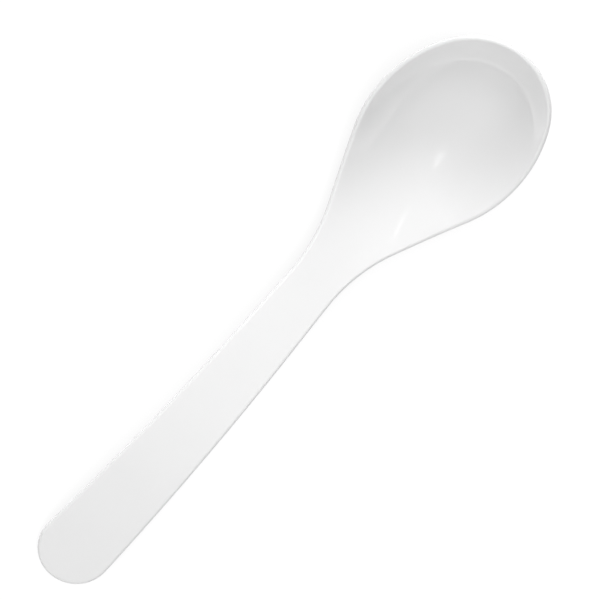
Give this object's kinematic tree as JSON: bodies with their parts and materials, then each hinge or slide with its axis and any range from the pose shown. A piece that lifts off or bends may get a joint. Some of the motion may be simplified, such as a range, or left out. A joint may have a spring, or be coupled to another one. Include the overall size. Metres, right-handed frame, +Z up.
{
  "type": "salad spoon",
  "caption": "One-piece moulded salad spoon: flat arched grip with a round end, slim neck and deep oval bowl with a raised tip.",
  "frame": {"origin": "middle of the spoon's length and width, on the table plane it lies on", "axes": "+X along the spoon towards the bowl's tip, +Y across it, +Z up out of the bowl"},
  "size_m": [0.3, 0.0738, 0.035],
  "materials": {
    "white_plastic": "smooth moulded white plastic, glossy all over"
  },
  "bodies": {
    "root": {"salad_spoon": "white_plastic"}
  },
  "joints": []
}
